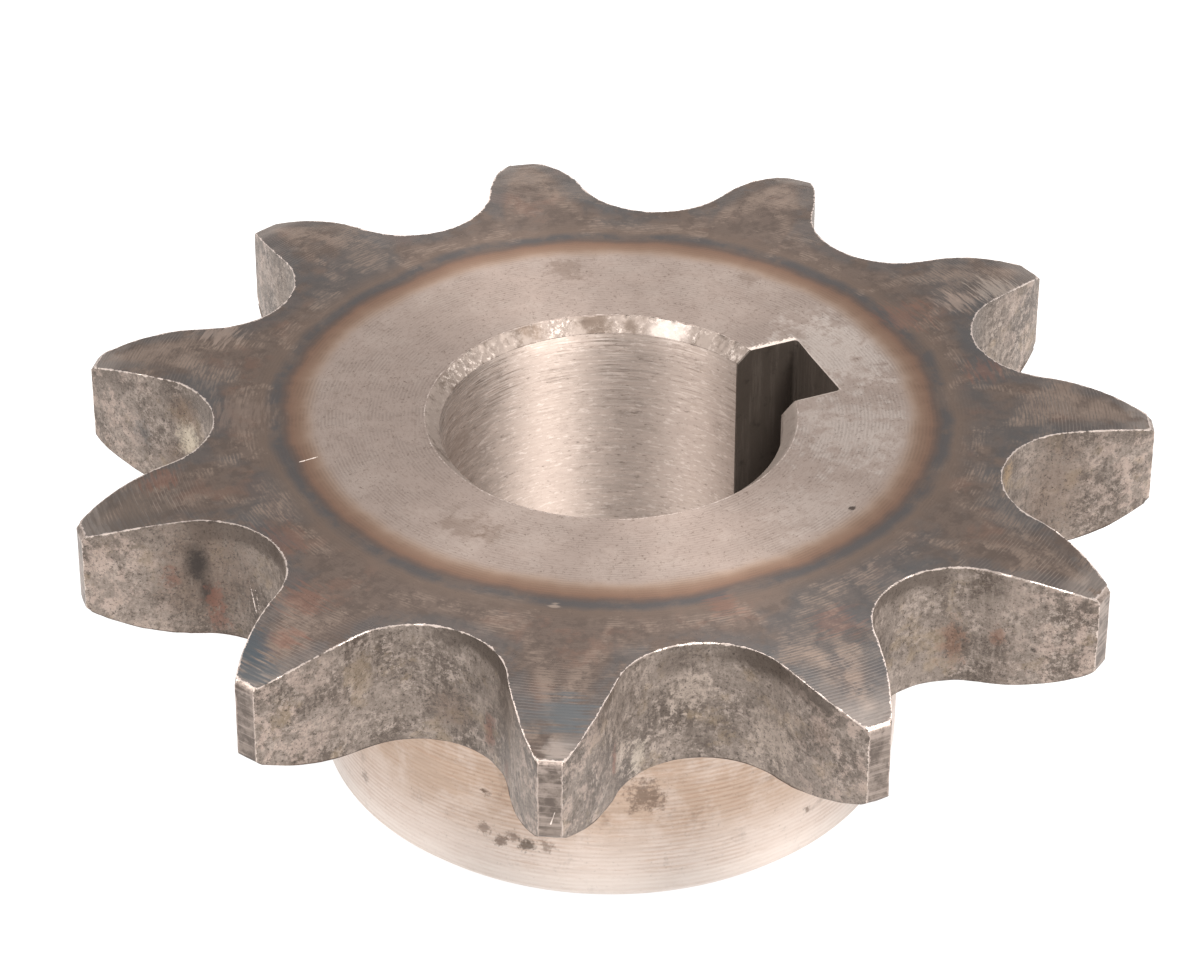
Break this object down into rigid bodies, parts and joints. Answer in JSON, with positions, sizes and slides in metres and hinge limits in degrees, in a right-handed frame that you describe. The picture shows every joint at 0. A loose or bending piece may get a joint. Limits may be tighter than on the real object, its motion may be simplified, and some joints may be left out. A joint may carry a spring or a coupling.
{
  "type": "chain sprocket",
  "caption": "Steel roller-chain sprocket with relieved teeth, a plain hub on one side and a keyed bore, for driving or carrying a simple roller chain on a shaft.",
  "frame": {"origin": "on the bore axis, in the middle plane of the teeth, which is the chain line", "axes": "+Z along the bore axis, out of the toothed face and away from the hub; +X through the middle of the keyway"},
  "size_m": [0.063, 0.0629, 0.0225],
  "materials": {
    "steel": "turned steel with a heat-tinted, oxidised toothed rim"
  },
  "bodies": {
    "root": {"sprocket": "steel"}
  },
  "joints": []
}
